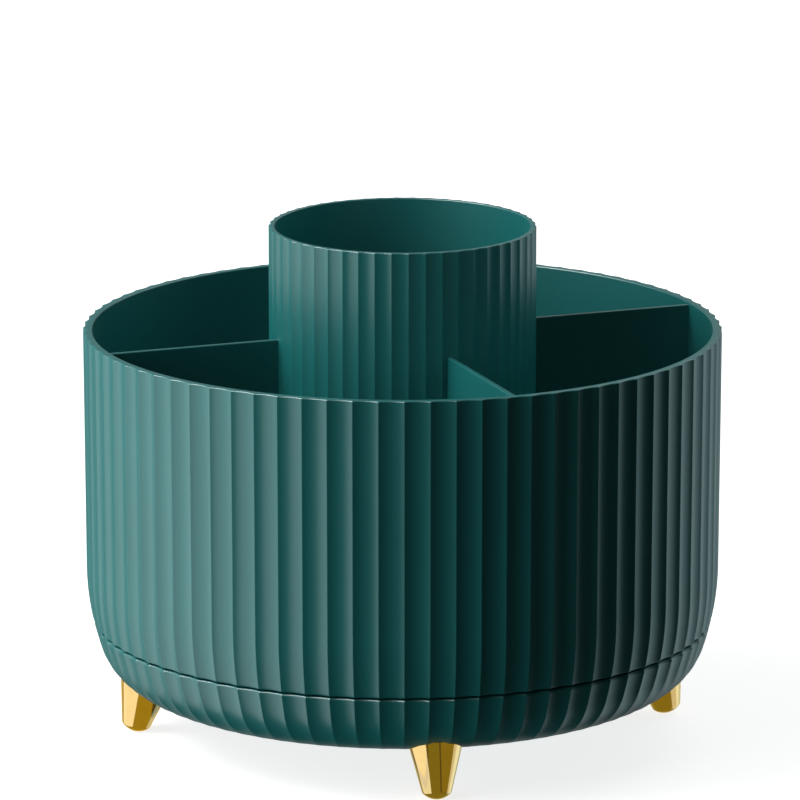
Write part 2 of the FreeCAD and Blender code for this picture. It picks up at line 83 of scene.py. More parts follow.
flute_pitch = FULL_TURN / FLUTE_COUNT
rim_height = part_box("drum")[1].z
belly_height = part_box("base")[0].z
rim_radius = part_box("drum")[1].x / math.cos(flute_pitch / 2)
bend_radius = rim_radius - (rim_height - BEND_HEIGHT) * math.tan(DRAFT)
wide_across = bend_radius - WIDE_BEND * math.cos(DRAFT)
wide_up = BEND_HEIGHT + WIDE_BEND * math.sin(DRAFT)
tight_up = belly_height + TIGHT_BEND
bends_joint = math.asin((wide_up - tight_up) / (WIDE_BEND - TIGHT_BEND))
tight_across = wide_across + (WIDE_BEND - TIGHT_BEND) * math.cos(bends_joint)


def wide_lean(level, inset=0.0):
    """How far the wide bend leans from upright at a level."""
    return math.asin((wide_up - level) / (WIDE_BEND - inset))


def wide_point(lean, inset=0.0):
    """A point of the wide bend, across from the axis and up from the floor."""
    reach = WIDE_BEND - inset
    return wide_across + reach * math.cos(lean), wide_up - reach * math.sin(lean)


def tight_point(lean, inset=0.0):
    """A point of the tight bend."""
    reach = TIGHT_BEND - inset
    return tight_across + reach * math.cos(lean), tight_up - reach * math.sin(lean)


def wall_point(level, inset=0.0):
    """A point of the drafted wall above the bends."""
    return rim_radius - (rim_height - level) * math.tan(DRAFT) - inset / math.cos(DRAFT), level


def steps(first, last, count):
    """Evenly spaced values from first to last."""
    return [first + (last - first) * k / count for k in range(count + 1)]


print("rim radius", round(rim_radius / MM, 2), "mm, seam radius",
      round(wide_point(wide_lean(SEAM_HEIGHT))[0] / MM, 2), "mm")

# %% [markdown]
# From bmesh to a finished piece
#
# Every piece below ends the same way. Doubles are merged, so that seams and poles close, and the
# normals are turned outwards. Smooth shading rounds the small edges, true corners are kept sharp,
# and a weighted normal keeps the wide faces flat. A Bevel modifier could round the corners as well,
# but here each moulding already has its edge rounds in its section.

# %% Finish and dress a piece
MERGE = 0.001 * MM
SHARP_ANGLE = math.radians(60)


def finish_mesh(bm, name, material):
    """Closes a bmesh, shades it smooth and links it as an object at the origin."""
    bmesh.ops.remove_doubles(bm, verts=bm.verts, dist=MERGE)
    bmesh.ops.recalc_face_normals(bm, faces=bm.faces)
    mesh = bpy.data.meshes.new(name)
    for face in bm.faces:
        face.smooth = True
    bm.to_mesh(mesh)
    bm.free()
    mesh.set_sharp_from_angle(angle=SHARP_ANGLE)
    mesh.materials.append(material)
    piece = bpy.data.objects.new(name, mesh)
    scene.collection.objects.link(piece)
    normals = piece.modifiers.new("even shading", "WEIGHTED_NORMAL")
    normals.keep_sharp = True
    return piece


def dress(piece, node, body):
    """Makes a piece stand for a CAD node on that node's body."""
    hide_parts(node)
    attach(piece, body)
    triangles = sum(len(face.vertices) - 2 for face in piece.data.polygons)
    size = [round(length / MM, 1) for length in piece.dimensions]
    print(piece.name, "stands for", node, "with", triangles, "triangles,", size, "mm")


print("corners over", round(math.degrees(SHARP_ANGLE)), "degrees stay sharp")

# %% [markdown]
# One flute, spun round
#
# The flutes are shallow hollows that meet in crisp ridges, like those of a column. They could be
# cut with eighty boolean cylinders, but booleans leave ragged faces. Here a single flute is a
# short chain of edges, extruded from row to row along the whole section of the moulding, outside,
# over the rim and down the inside, and then spun into place as often as there are flutes. The
# chain is fine beside the ridges, so smooth shading gives each ridge a small round edge.

# %% Spin one flute into a shell
FLUTE_SHARES = (0.0, 0.025, 0.08, 0.18, 0.32, 0.5, 0.68, 0.82, 0.92, 0.975, 1.0)


def place_row(verts, share_layer, row, pitch, middle):
    """Moves one row of a flute to its radius over the ridges, level and depth."""
    radius, level, depth = row
    for vert in verts:
        across = 2 * vert[share_layer] - 1
        reach = radius - depth * (1 - across ** 2)
        turn = middle + across * pitch / 2
        vert.co = (reach * math.cos(turn), reach * math.sin(turn), level)


def fluted_shell(name, rows, count, middle, material):
    """A moulding whose section is given as rows of radius, level and flute depth."""
    bm = bmesh.new()
    pitch = FULL_TURN / count
    share_layer = bm.verts.layers.float.new("share")
    verts = [bm.verts.new() for _ in FLUTE_SHARES]
    for vert, share in zip(verts, FLUTE_SHARES):
        vert[share_layer] = share
    edges = [bm.edges.new(pair) for pair in zip(verts, verts[1:])]
    place_row(verts, share_layer, rows[0], pitch, middle)
    for row in rows[1:]:
        made = bmesh.ops.extrude_edge_only(bm, edges=edges)["geom"]
        verts = [part for part in made if isinstance(part, bmesh.types.BMVert)]
        ends = set(verts)
        made_edges = [part for part in made if isinstance(part, bmesh.types.BMEdge)]
        edges = [edge for edge in made_edges if ends.issuperset(edge.verts)]
        place_row(verts, share_layer, row, pitch, middle)
    flute = bm.verts[:] + bm.edges[:] + bm.faces[:]
    bmesh.ops.spin(bm, geom=flute, axis=(0, 0, 1), cent=(0, 0, 0), steps=count - 1,
                   angle=pitch * (count - 1), use_duplicate=True)
    return finish_mesh(bm, name, material)


print("a flute has", len(FLUTE_SHARES) - 1, "faces across")

# %% [markdown]
# Rows of a section
#
# A section is written as a walk round the moulding, one row after another. Plain stretches are
# rows with no flute depth, and a rounded edge is a few rows on an arc, given by the directions in
# which the arc starts and ends, seen from the arc's own centre.

# %% Plain rows and rounded edges
DOWN, OUT, UP, IN = -QUARTER_TURN, 0.0, QUARTER_TURN, 2 * QUARTER_TURN
EDGE_STEPS = 3


def smooth_rows(points):
    """Rows with no flutes."""
    return [(across, up, 0.0) for across, up in points]


def edge_rows(across, up, radius, first, last, depth=0.0, count=EDGE_STEPS):
    """Rows over a rounded edge, from one direction to another about the edge's own centre."""
    return [
        (across + radius * math.cos(turn), up + radius * math.sin(turn), depth)
        for turn in steps(first, last, count)
    ]


print("an edge is rounded in", EDGE_STEPS, "steps")

# %% [markdown]
# Colours and nodes
#
# Blender works in linear light, while colours are usually picked as sRGB hex values. One function
# turns the second into the first, and one more adds a node with its settings and links, so that
# each material below reads as a short recipe. A Mix node has sockets of the same name for numbers,
# vectors and colours, so its colour sockets are found by their place.

# %% Helpers for materials
MIX_A, MIX_B, MIX_RESULT = 6, 7, 2


def linear(hex_colour):
    """A linear colour from an sRGB hex value."""
    channels = [int(hex_colour[k:k + 2], 16) / 255 for k in (1, 3, 5)]
    return (*[c / 12.92 if c <= 0.04045 else ((c + 0.055) / 1.055) ** 2.4 for c in channels], 1.0)


def add(tree, kind, inputs=None, **settings):
    """Adds a node, makes its settings, and sets or links its inputs."""
    node = tree.nodes.new(kind)
    for name, value in settings.items():
        setattr(node, name, value)
    for name, value in (inputs or {}).items():
        if isinstance(value, bpy.types.NodeSocket):
            tree.links.new(value, node.inputs[name])
        else:
            node.inputs[name].default_value = value
    return node


def start_material(name):
    """An empty node material and its Object coordinates."""
    material = bpy.data.materials.new(name)
    material.use_nodes = True
    material.node_tree.nodes.clear()
    place = add(material.node_tree, "ShaderNodeTexCoord").outputs["Object"]
    return material, material.node_tree, place


def end_material(tree, inputs):
    """Gives the tree its shader and output."""
    shader = add(tree, "ShaderNodeBsdfPrincipled", inputs)
    add(tree, "ShaderNodeOutputMaterial", {"Surface": shader.outputs["BSDF"]})


WHITE = linear("#FFFFFF")
print("pure white is", WHITE)

# %% [markdown]
# Moulded ABS
#
# Tub, bowl, cup and plates are injection moulded ABS in one deep green. The mould is polished but
# not to a mirror, so the plastic has a satin gloss: broad soft reflections with a clean edge. A
# plain colour would look like paint, so the pigment drifts a little over a few centimetres, as it
# does where the melt flowed, and a very fine grain breaks up the gloss. The real grain is a few
# hundredths of a millimetre, so it is drawn coarser here to be seen at all.

# %% Deep green moulded ABS
MELT_FLOW = 45 * MM
MOULD_GRAIN = 0.7 * MM
GRAIN_HEIGHT = 0.002 * MM


def moulded_abs():
    """Satin green plastic: a coloured body under a clear, slightly soft gloss."""
    material, tree, place = start_material("deep_green_moulded_abs")
    flow = add(tree, "ShaderNodeTexNoise", {
        "Vector": place, "Scale": 1 / MELT_FLOW, "Detail": 2.0,
    })
    grain = add(tree, "ShaderNodeTexNoise", {
        "Vector": place, "Scale": 1 / MOULD_GRAIN, "Detail": 2.0,
    })
    pigment = add(tree, "ShaderNodeMix", {
        "Factor": flow.outputs["Fac"], MIX_A: linear("#0E6665"), MIX_B: linear("#106D6C"),
    }, data_type="RGBA")
    gloss = add(tree, "ShaderNodeMapRange", {
        "Value": grain.outputs["Fac"], "To Min": 0.30, "To Max": 0.38,
    })
    bump = add(tree, "ShaderNodeBump", {
        "Height": grain.outputs["Fac"], "Strength": 0.5, "Distance": GRAIN_HEIGHT,
    })
    end_material(tree, {
        "Base Color": pigment.outputs[MIX_RESULT], "Roughness": gloss.outputs["Result"],
        "IOR": 1.55, "Normal": bump.outputs["Normal"],
    })
    return material


green_abs = moulded_abs()
print("made", green_abs.name)

# %% [markdown]
# Tub
#
# The tub is one moulding: fluted wall, rounded rim, smooth inside and a floor with a hub for the
# pivot and a rib that the upper ball race is screwed to. Its section is a closed loop, so the last
# row comes back to the first and the doubles are merged there. The rim and the lower edge are
# rounded by half a millimetre, which is what draws the thin bright lines along them. Where such a
# round runs into the leaning wall, it stops near the wall's own lean.

# %% Fluted tub
FLUTE_DEPTH = 0.8 * MM
EDGE = 0.5 * MM
SEAM_LEAN = math.radians(12)
FLOOR_LEAN = math.radians(15)
FLOOR_RECESS = 1.6 * MM
FLOOR_THICKNESS = 3.0 * MM
FLOOR_FILLET = 2.0 * MM
RACE_WIDTH = 18.0 * MM
HUB_BORE = 7.1 * MM
HUB_RADIUS = 13.1 * MM
HUB_DROP = 3.0 * MM
HUB_RISE = 2.5 * MM
CUP_RING = (41.75 * MM, 43.75 * MM)
CUP_RING_HEIGHT = 5.0 * MM
TUB_STEPS = 5

tub_bottom = SEAM_HEIGHT + SEAM_GAP / 2
tub_underside = tub_bottom + FLOOR_RECESS
tub_floor = tub_underside + FLOOR_THICKNESS
upper_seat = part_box("race_upper")[1].z
race_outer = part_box("race_lower")[1].x
race_inner = race_outer - RACE_WIDTH


def flute_depth(lean):
    """How far a flute goes in, measured level, where the wall leans."""
    return FLUTE_DEPTH * math.cos(lean)


def tub_rows():
    """The tub's section, from the hub out along the underside, up, over the rim and back in."""
    hub_bottom = tub_underside - HUB_DROP
    hub_top = tub_floor + HUB_RISE
    rows = smooth_rows([
        (HUB_BORE, hub_bottom), (HUB_RADIUS, hub_bottom), (HUB_RADIUS, tub_underside),
        (race_inner, tub_underside), (race_inner, upper_seat), (race_outer, upper_seat),
        (race_outer, tub_underside),
        wide_point(wide_lean(tub_underside, SHELL_WALL), SHELL_WALL),
        wide_point(wide_lean(tub_bottom, SHELL_WALL), SHELL_WALL),
    ])
    foot_across, foot_up = wide_point(wide_lean(tub_bottom))
    foot_depth = flute_depth(wide_lean(tub_bottom))
    rows += edge_rows(foot_across - EDGE, foot_up + EDGE, EDGE, DOWN, -SEAM_LEAN, foot_depth)
    for lean in steps(wide_lean(tub_bottom + 2 * EDGE), DRAFT, TUB_STEPS):
        rows.append((*wide_point(lean), flute_depth(lean)))
    rows += edge_rows(rim_radius - EDGE, rim_height - EDGE, EDGE, OUT, UP, FLUTE_DEPTH)
    inner_rim = wall_point(rim_height, SHELL_WALL)[0]
    rows += edge_rows(inner_rim + EDGE, rim_height - EDGE, EDGE, UP, IN)
    fillet_top = tub_floor + FLOOR_FILLET
    fillet_lean = wide_lean(fillet_top, SHELL_WALL)
    rows += smooth_rows([
        wide_point(lean, SHELL_WALL) for lean in steps(DRAFT, fillet_lean, TUB_STEPS)
    ])
    fillet_across = wide_point(fillet_lean, SHELL_WALL)[0] - FLOOR_FILLET
    rows += edge_rows(fillet_across, fillet_top, FLOOR_FILLET, -FLOOR_LEAN, DOWN)
    ring_inner, ring_outer = CUP_RING
    ring_top = tub_floor + CUP_RING_HEIGHT
    rows += smooth_rows([
        (ring_outer, tub_floor), (ring_outer, ring_top), (ring_inner, ring_top),
        (ring_inner, tub_floor), (HUB_RADIUS, tub_floor), (HUB_RADIUS, hub_top),
        (HUB_BORE, hub_top), (HUB_BORE, hub_bottom),
    ])
    return rows


tub = fluted_shell("fluted_tub", tub_rows(), FLUTE_COUNT, 0.0, green_abs)
dress(tub, "drum", "drum")

# %% [markdown]
# Bowl
#
# The bowl carries on the tub's flutes below the seam and turns them in under itself. They grow
# shallow as the wall leans and run out on the belly, so the lower edge of the bowl stays clean.
# The lip at the seam is rounded more than the other edges and catches a thin bright line. Inside
# are the rib for the ball race and the pivot post, made here too, because the bowl is open when
# the tub is off.

# %% Fluted bowl
BELLY_EDGE = 4.0 * MM
LIP = 0.9 * MM
LIP_DEPTH = 1.35 * MM
LIP_STEPS = 5
POST_RADIUS = 12.0 * MM
SCREW_BORE = 2.55 * MM
SCREW_HOLE_DEPTH = 12.05 * MM
TIGHT_STEPS = 12
WIDE_STEPS = 2
INNER_STEPS = 6

bowl_top = SEAM_HEIGHT - SEAM_GAP / 2
bowl_floor = belly_height + SHELL_WALL
lower_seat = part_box("race_lower")[0].z
post_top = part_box("pivot_sleeve")[0].z


def bowl_rows():
    """The bowl's section, from under the axis out, up to the seam and back along the inside."""
    rows = smooth_rows([(0.0, belly_height), (tight_across - BELLY_EDGE, belly_height)])
    for lean in steps(QUARTER_TURN, bends_joint, TIGHT_STEPS):
        rows.append((*tight_point(lean), flute_depth(lean)))
    for lean in steps(bends_joint, wide_lean(bowl_top - LIP_DEPTH), WIDE_STEPS)[1:]:
        rows.append((*wide_point(lean), flute_depth(lean)))
    lip_lean = wide_lean(bowl_top - LIP)
    lip_across = wide_point(lip_lean)[0] - LIP
    lip_flutes = flute_depth(lip_lean)
    rows += edge_rows(lip_across, bowl_top - LIP, LIP, -SEAM_LEAN, UP, lip_flutes, LIP_STEPS)
    inner_lean = wide_lean(bowl_top, SHELL_WALL)
    rows += smooth_rows([
        wide_point(lean, SHELL_WALL) for lean in steps(inner_lean, bends_joint, WIDE_STEPS)
    ])
    rows += smooth_rows([
        tight_point(lean, SHELL_WALL) for lean in steps(bends_joint, QUARTER_TURN, INNER_STEPS)
    ])
    hole_end = post_top - SCREW_HOLE_DEPTH
    rows += smooth_rows([
        (race_outer, bowl_floor), (race_outer, lower_seat), (race_inner, lower_seat),
        (race_inner, bowl_floor), (POST_RADIUS, bowl_floor), (POST_RADIUS, post_top),
        (SCREW_BORE, post_top), (SCREW_BORE, hole_end), (0.0, hole_end),
    ])
    return rows


bowl = fluted_shell("fluted_bowl", bowl_rows(), FLUTE_COUNT, 0.0, green_abs)
dress(bowl, "base", "base")

# %% [markdown]
# Bosses for the feet
#
# Inside the bowl, over each foot, a round boss takes the foot's spigot and its screw. The bosses
# lean with the feet. They could be joined to the bowl with a boolean, but they are hidden and their
# lower ends are sunk into its wall, so four plain cylinders do.

# %% Foot bosses
BOSS_RADIUS = 8.1 * MM
BOSS_CEILING = 2.5 * MM
SPIGOT_LENGTH = 8.0 * MM
SPLAY = math.radians(13.5)
ROUND_STEPS = 64


def foot_axis(quarter):
    """From a foot's own upright axis to its splayed place under the bowl."""
    turn = Matrix.Rotation(quarter * QUARTER_TURN, 4, "Z")
    place = Matrix.Translation((tight_across, 0, tight_up))
    return turn @ place @ Matrix.Rotation(-SPLAY, 4, "Y")


def boss_tops(material):
    """The four bosses inside the bowl, sunk into its wall."""
    bm = bmesh.new()
    low = SHELL_WALL / 2 - TIGHT_BEND
    high = SPIGOT_LENGTH + BOSS_CEILING - TIGHT_BEND
    middle = Matrix.Translation((0, 0, (low + high) / 2))
    for quarter in range(len(SIDES)):
        bmesh.ops.create_cone(bm, cap_ends=True, segments=ROUND_STEPS, radius1=BOSS_RADIUS,
                              radius2=BOSS_RADIUS, depth=high - low,
                              matrix=foot_axis(quarter) @ middle)
    return finish_mesh(bm, "foot_bosses", material)


bosses = boss_tops(green_abs)
dress(bosses, "base", "base")

# %% [markdown]
# Centre cup
#
# The cup is a straight fluted tube with a floor, standing over the pivot. It is the same kind of
# moulding as the tub, so the same function makes it from its own section and its own fifty flutes.
# The tub is at rest three flutes round from the bowl's own zero. The cup is turned with it, and by
# half a flute of its own more, so that a ridge points at the right hand plate.

# %% Fluted cup
CUP_FLUTE_COUNT = 50
CUP_FLUTE_DEPTH = 0.55 * MM
CUP_RADIUS = 46.0 * MM
CUP_WALL = 2.1 * MM
CUP_FLOOR_THICKNESS = 2.5 * MM
CUP_HEAD_ROOM = 2.0 * MM
CUP_FILLET = 1.5 * MM
CUP_EDGE = 0.4 * MM
FLUTES_TURNED = 3

tub_turn = FLUTES_TURNED * flute_pitch
cup_turn = tub_turn + FULL_TURN / CUP_FLUTE_COUNT / 2
cup_bottom, cup_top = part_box("centre_cup")[0].z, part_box("centre_cup")[1].z


def cup_rows():
    """The cup's section, from its raised floor down the skirt, up the outside and back in."""
    inner = CUP_RADIUS - CUP_WALL
    outer = CUP_RADIUS - CUP_EDGE
    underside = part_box("pivot_screw")[1].z + CUP_HEAD_ROOM
    floor = underside + CUP_FLOOR_THICKNESS
    rows = smooth_rows([(0.0, underside), (inner, underside), (inner, cup_bottom)])
    rows += edge_rows(outer, cup_bottom + CUP_EDGE, CUP_EDGE, DOWN, OUT, CUP_FLUTE_DEPTH)
    rows += edge_rows(outer, cup_top - CUP_EDGE, CUP_EDGE, OUT, UP, CUP_FLUTE_DEPTH)
    rows += edge_rows(inner + CUP_EDGE, cup_top - CUP_EDGE, CUP_EDGE, UP, IN)
    rows += edge_rows(inner - CUP_FILLET, floor + CUP_FILLET, CUP_FILLET, OUT, DOWN)
    rows += smooth_rows([(0.0, floor)])
    return rows


cup = fluted_shell("fluted_cup", cup_rows(), CUP_FLUTE_COUNT, cup_turn, green_abs)
dress(cup, "centre_cup", "drum")

# %% [markdown]
# Plates
#
# Four thin plates part the tub. Each is cut to the curve of the wall that it slides into, so its
# outline is drawn once, given its thickness by an extrude, and its top edges are rounded with a
# bevel. The plate runs a little way into wall, floor and cup, where the slots are.

# %% Divider plates
PLATE_THICKNESS = 1.8 * MM
PLATE_EDGE = 0.45 * MM
PLATE_STEPS = 6
SLOT_REACH = 0.9 * MM
CUP_REACH = 0.225 * MM
BEVEL_STEPS = 3

plate_start = CUP_RADIUS - CUP_FLUTE_DEPTH - CUP_REACH


def level_edges(bm, level):
    """The edges of a mesh that lie at a level."""
    return [edge for edge in bm.edges if all(abs(v.co.z - level) < MERGE for v in edge.verts)]


def round_edges(bm, edges, radius):
    """Rounds edges of a mesh."""
    bmesh.ops.bevel(bm, geom=edges, offset=radius, segments=BEVEL_STEPS, profile=0.5,
                    affect="EDGES", material=-1)


def divider_plate(side, quarter):
    """One plate, drawn along +X and then turned to its place."""
    low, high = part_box(f"divider_{side}")[0].z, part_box(f"divider_{side}")[1].z
    inset = SHELL_WALL - SLOT_REACH
    outline = [(plate_start, high), (plate_start, low)]
    outline += [
        wide_point(lean, inset) for lean in steps(wide_lean(low, inset), DRAFT, PLATE_STEPS)
    ]
    outline.append(wall_point(high, inset))
    bm = bmesh.new()
    near = -PLATE_THICKNESS / 2
    face = bm.faces.new([bm.verts.new((across, near, up)) for across, up in outline])
    made = bmesh.ops.extrude_face_region(bm, geom=[face])["geom"]
    moved = [part for part in made if isinstance(part, bmesh.types.BMVert)]
    bmesh.ops.translate(bm, verts=moved, vec=(0, PLATE_THICKNESS, 0))
    long_edges = [
        edge for edge in level_edges(bm, high) if edge.calc_length() > 2 * PLATE_THICKNESS
    ]
    round_edges(bm, long_edges, PLATE_EDGE)
    turn = Matrix.Rotation(tub_turn + quarter * QUARTER_TURN, 4, "Z")
    bmesh.ops.transform(bm, matrix=turn, verts=bm.verts)
    return finish_mesh(bm, f"plate_{side}", green_abs)


for quarter, side in enumerate(SIDES):
    dress(divider_plate(side, quarter), f"divider_{side}", "drum")

# %% [markdown]
# Gold plating
#
# The feet are moulded, plated with copper and nickel and flashed with a gold coloured finish. A
# plated surface is a metal to the eye: it is all reflection, tinted by a pale gold, and it looks
# cream where it mirrors a light and olive where it mirrors little. Plating flows a little, which is
# why its mirror is never quite flat.

# %% Polished gold plating
PLATING_FLOW = 2.5 * MM
PLATING_WAVE = 0.02 * MM


def gold_plating():
    """Mirror gold with the faint waviness of a plated surface."""
    material, tree, place = start_material("polished_gold_plating")
    flow = add(tree, "ShaderNodeTexNoise", {
        "Vector": place, "Scale": 1 / PLATING_FLOW, "Detail": 2.0,
    })
    gloss = add(tree, "ShaderNodeMapRange", {
        "Value": flow.outputs["Fac"], "To Min": 0.05, "To Max": 0.11,
    })
    tone = add(tree, "ShaderNodeMix", {
        "Factor": flow.outputs["Fac"], MIX_A: linear("#A4946C"), MIX_B: linear("#AE9E77"),
    }, data_type="RGBA")
    bump = add(tree, "ShaderNodeBump", {
        "Height": flow.outputs["Fac"], "Strength": 0.15, "Distance": PLATING_WAVE,
    })
    end_material(tree, {
        "Base Color": tone.outputs[MIX_RESULT], "Metallic": 1.0,
        "Roughness": gloss.outputs["Result"], "Normal": bump.outputs["Normal"],
    })
    return material


gold = gold_plating()
print("made", gold.name)

# %% [markdown]
# Feet
#
# A foot is a turned shape: a cone that narrows to a crisp shoulder and a low dome, with a spigot
# on top that goes up into the bowl. A profile spun round the foot's own axis gives it, and the
# table takes a small flat off the dome, which a cut through the mesh makes. The cone's top stays
# inside the wall of the bowl, so the fluted wall itself draws the line where the two meet.

# %% Plated feet
FOOT_TOP_RADIUS = 9.4 * MM
FOOT_TIP_RADIUS = 4.95 * MM
FOOT_DOME_HEIGHT = 2.2 * MM
FOOT_FLAT_DEPTH = 0.4 * MM
FOOT_SHOULDER = 0.35 * MM
FOOT_SINK = 2.475 * MM
SPIGOT_RADIUS = 5.0 * MM
FOOT_STEPS = 96
DOME_STEPS = 10

dome_radius = (FOOT_TIP_RADIUS ** 2 + FOOT_DOME_HEIGHT ** 2) / (2 * FOOT_DOME_HEIGHT)
dome_centre = (dome_radius - FOOT_FLAT_DEPTH - tight_up) / math.cos(SPLAY)
foot_root = FOOT_SINK - TIGHT_BEND
spigot_top = SPIGOT_LENGTH - TIGHT_BEND


def foot_profile():
    """The foot's half section, from the dome up along the cone to the spigot."""
    widest = math.asin(FOOT_TIP_RADIUS / dome_radius)
    dome = [
        (dome_radius * math.sin(turn), dome_centre - dome_radius * math.cos(turn))
        for turn in steps(0, widest, DOME_STEPS)
    ]
    return dome + [
        (FOOT_TOP_RADIUS, foot_root), (SPIGOT_RADIUS, foot_root),
        (SPIGOT_RADIUS, spigot_top), (0.0, spigot_top),
    ]


def plated_foot(side, quarter):
    """One foot, turned upright, then splayed, set under the bowl and levelled on the table."""
    bm = bmesh.new()
    verts = [bm.verts.new((across, 0, up)) for across, up in foot_profile()]
    edges = [bm.edges.new(pair) for pair in zip(verts, verts[1:])]
    bmesh.ops.spin(bm, geom=verts + edges, axis=(0, 0, 1), cent=(0, 0, 0), steps=FOOT_STEPS,
                   angle=FULL_TURN, use_merge=True)
    bmesh.ops.remove_doubles(bm, verts=bm.verts, dist=MERGE)
    shoulder = dome_centre - dome_radius + FOOT_DOME_HEIGHT
    round_edges(bm, level_edges(bm, shoulder), FOOT_SHOULDER)
    bmesh.ops.transform(bm, matrix=foot_axis(quarter), verts=bm.verts)
    foot = bm.verts[:] + bm.edges[:] + bm.faces[:]
    bmesh.ops.bisect_plane(bm, geom=foot, plane_co=(0, 0, 0), plane_no=(0, 0, 1),
                           clear_inner=True)
    bmesh.ops.holes_fill(bm, edges=bm.edges, sides=0)
    return finish_mesh(bm, f"plated_foot_{side}", gold)


feet = [plated_foot(side, quarter) for quarter, side in enumerate(SIDES)]
for foot, side in zip(feet, SIDES):
    dress(foot, f"foot_{side}", "base")

# %% [markdown]
# Inner hardware
#
# The races, cage, pivot and screws stay as the CAD made them, since their shapes are already right.
# They only need the finishes of real hardware: ground steel for the races, bright zinc on the
# screws, natural nylon for the cage and white acetal for the bush. Real grinding lines are far
# finer than these rings, which are drawn coarse enough to be seen. A Wave texture of scale one
# turns through twenty radians in a metre, so the rings' spacing is set through that.

# %% Steel, zinc, nylon and acetal
GRIND_SPACING = 5.03 * MM
GRIND_HEIGHT = 0.01 * MM
WAVE_RATE = 20
ZINC_BLOOM = 1.5 * MM
POLYMER_CLOUD = 6.0 * MM
POLYMER_DRIFT = 0.05


def ground_steel():
    """Bearing steel with fine rings left by the grinding wheel."""
    material, tree, place = start_material("ground_bearing_steel")
    rings = add(tree, "ShaderNodeTexWave", {
        "Vector": place, "Scale": FULL_TURN / (WAVE_RATE * GRIND_SPACING), "Distortion": 0.4,
        "Detail": 2.0,
    }, wave_type="RINGS", rings_direction="Z")
    gloss = add(tree, "ShaderNodeMapRange", {
        "Value": rings.outputs["Fac"], "To Min": 0.16, "To Max": 0.28,
    })
    bump = add(tree, "ShaderNodeBump", {
        "Height": rings.outputs["Fac"], "Strength": 0.2, "Distance": GRIND_HEIGHT,
    })
    end_material(tree, {
        "Base Color": linear("#C6C8CA"), "Metallic": 1.0, "Roughness": gloss.outputs["Result"],
        "Normal": bump.outputs["Normal"],
    })
    return material


def bright_zinc():
    """Zinc plate: a bluish metal with a faint crystalline bloom."""
    material, tree, place = start_material("bright_zinc_plate")
    bloom = add(tree, "ShaderNodeTexNoise", {
        "Vector": place, "Scale": 1 / ZINC_BLOOM, "Detail": 3.0,
    })
    tone = add(tree, "ShaderNodeMix", {
        "Factor": bloom.outputs["Fac"], MIX_A: linear("#AEB4BC"), MIX_B: linear("#C9CED6"),
    }, data_type="RGBA")
    gloss = add(tree, "ShaderNodeMapRange", {
        "Value": bloom.outputs["Fac"], "To Min": 0.22, "To Max": 0.38,
    })
    end_material(tree, {
        "Base Color": tone.outputs[MIX_RESULT], "Metallic": 1.0,
        "Roughness": gloss.outputs["Result"],
    })
    return material


def plain_polymer(name, dark, light, rough, ior):
    """A matt polymer with a soft cloudiness."""
    material, tree, place = start_material(name)
    cloud = add(tree, "ShaderNodeTexNoise", {
        "Vector": place, "Scale": 1 / POLYMER_CLOUD, "Detail": 2.0,
    })
    tone = add(tree, "ShaderNodeMix", {
        "Factor": cloud.outputs["Fac"], MIX_A: linear(dark), MIX_B: linear(light),
    }, data_type="RGBA")
    gloss = add(tree, "ShaderNodeMapRange", {
        "Value": cloud.outputs["Fac"], "To Min": rough - POLYMER_DRIFT,
        "To Max": rough + POLYMER_DRIFT,
    })
    end_material(tree, {
        "Base Color": tone.outputs[MIX_RESULT], "Roughness": gloss.outputs["Result"], "IOR": ior,
    })
    return material


steel = ground_steel()
zinc = bright_zinc()
nylon = plain_polymer("natural_moulded_nylon", "#DAD6CA", "#E6E3D9", rough=0.5, ior=1.53)
acetal = plain_polymer("natural_turned_acetal", "#E8E8E3", "#F0F0EC", rough=0.4, ior=1.48)
HARDWARE = {
    "race_lower": steel, "race_upper": steel, "pivot_sleeve": steel,
    "race_lower_screws": zinc, "race_upper_screws": zinc, "foot_screws": zinc,
    "pivot_screw": zinc, "pivot_washer": zinc, "ball_cage": nylon, "pivot_bush": acetal,
}
for node, material in HARDWARE.items():
    nodes[node].data.materials.clear()
    nodes[node].data.materials.append(material)
    print(node, "wears", material.name)

# %% [markdown]
# Balls
#
# Twenty four steel balls carry the tub. The CAD's balls arrive as triangles that pinch to nothing at
# the poles. An icosphere would do, but a sphere of rings and segments needs fewer faces for as
# round an outline, so each ball is one of those, set on the circle between the races.

# %% Ball ring
BALL_COUNT = 24
BALL_SEGMENTS = 32

ball_low, ball_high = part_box("bearing_balls")
ball_radius = (ball_high.z - ball_low.z) / 2
ball_circle = race_outer - RACE_WIDTH / 2


def ball_ring(material):
    """The balls, evenly spaced round the pivot."""
    bm = bmesh.new()
    place = Matrix.Translation((ball_circle, 0, ball_low.z + ball_radius))
    for k in range(BALL_COUNT):
        turn = Matrix.Rotation(k * FULL_TURN / BALL_COUNT, 4, "Z")
        bmesh.ops.create_uvsphere(bm, u_segments=BALL_SEGMENTS, v_segments=BALL_SEGMENTS // 2,
                                  radius=ball_radius, matrix=turn @ place)
    return finish_mesh(bm, "ball_ring", material)


dress(ball_ring(steel), "bearing_balls", "cage")

# %% [markdown]
# Camera
#
# The photograph was taken from well back with a long lens, a little above the rim. The camera's
# place and lens were worked out from the ellipses of rim, cup and seam, so the render lies over
# the photograph.

# %% Camera at the photograph's angle
CAMERA_PLACE = Vector((-0.2818, -2.2527, 0.6687))
CAMERA_HEADING = math.radians(7.109)
CAMERA_PITCH = math.radians(13.703)
LENS = 304.55
SENSOR = 36.0
FARTHEST = 50.0

